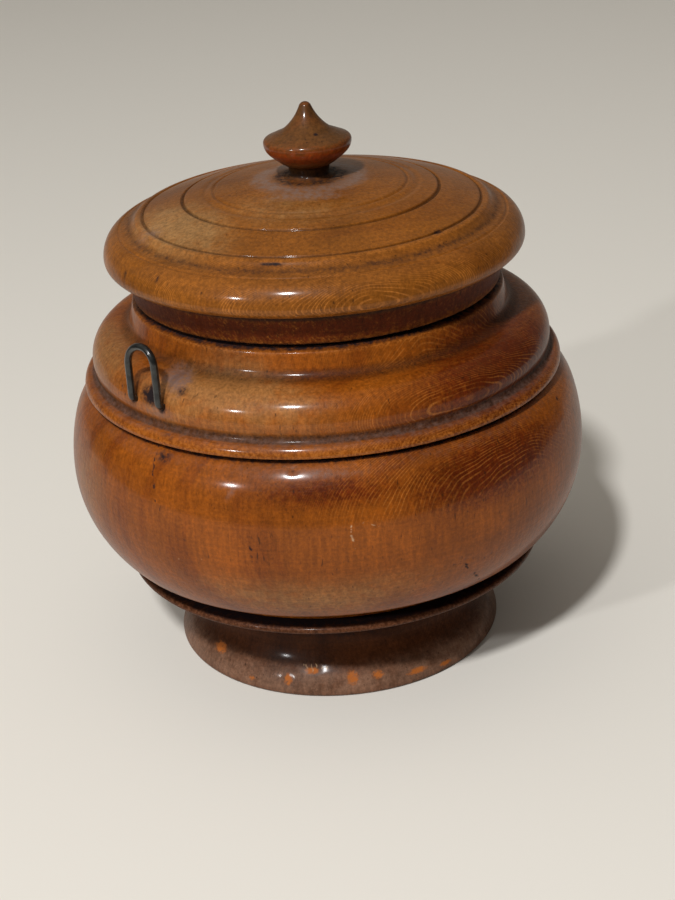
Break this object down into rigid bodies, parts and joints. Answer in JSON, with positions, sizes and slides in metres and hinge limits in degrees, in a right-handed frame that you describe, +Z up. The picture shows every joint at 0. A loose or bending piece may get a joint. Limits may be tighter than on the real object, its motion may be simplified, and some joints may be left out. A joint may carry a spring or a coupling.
{
  "type": "turned wooden canister",
  "caption": "Turned wooden canister: round belly on a flared foot, shoulder with a wire loop, and a domed lift-off lid with a pointed knob.",
  "frame": {"origin": "centre of the foot's flat underside, on the turning axis", "axes": "+Z up along the turning axis; -Y is the front, and the wire loop stands at the front left, towards -X and -Y"},
  "size_m": [0.12, 0.12, 0.1287],
  "materials": {
    "body_wood": "old wax polish, orange brown, fine growth rings",
    "lid_wood": "old wax polish, tan brown top with an orange brown rim",
    "foot_wood": "dark worn polish with orange chips",
    "knob_wood": "glossy red brown polish",
    "iron_wire": "blackened, rubbed to a dull shine"
  },
  "bodies": {
    "body": {"foot": "foot_wood", "bowl": "body_wood", "shoulder_ring": "body_wood", "wire_loop": "iron_wire"},
    "lid": {"lid": "lid_wood", "knob": "knob_wood"}
  },
  "joints": [
    {"name": "lid_lift", "type": "slide", "parent": "body", "child": "lid", "axis": [0, 0, 1], "range_m": [0, 0.06]}
  ]
}
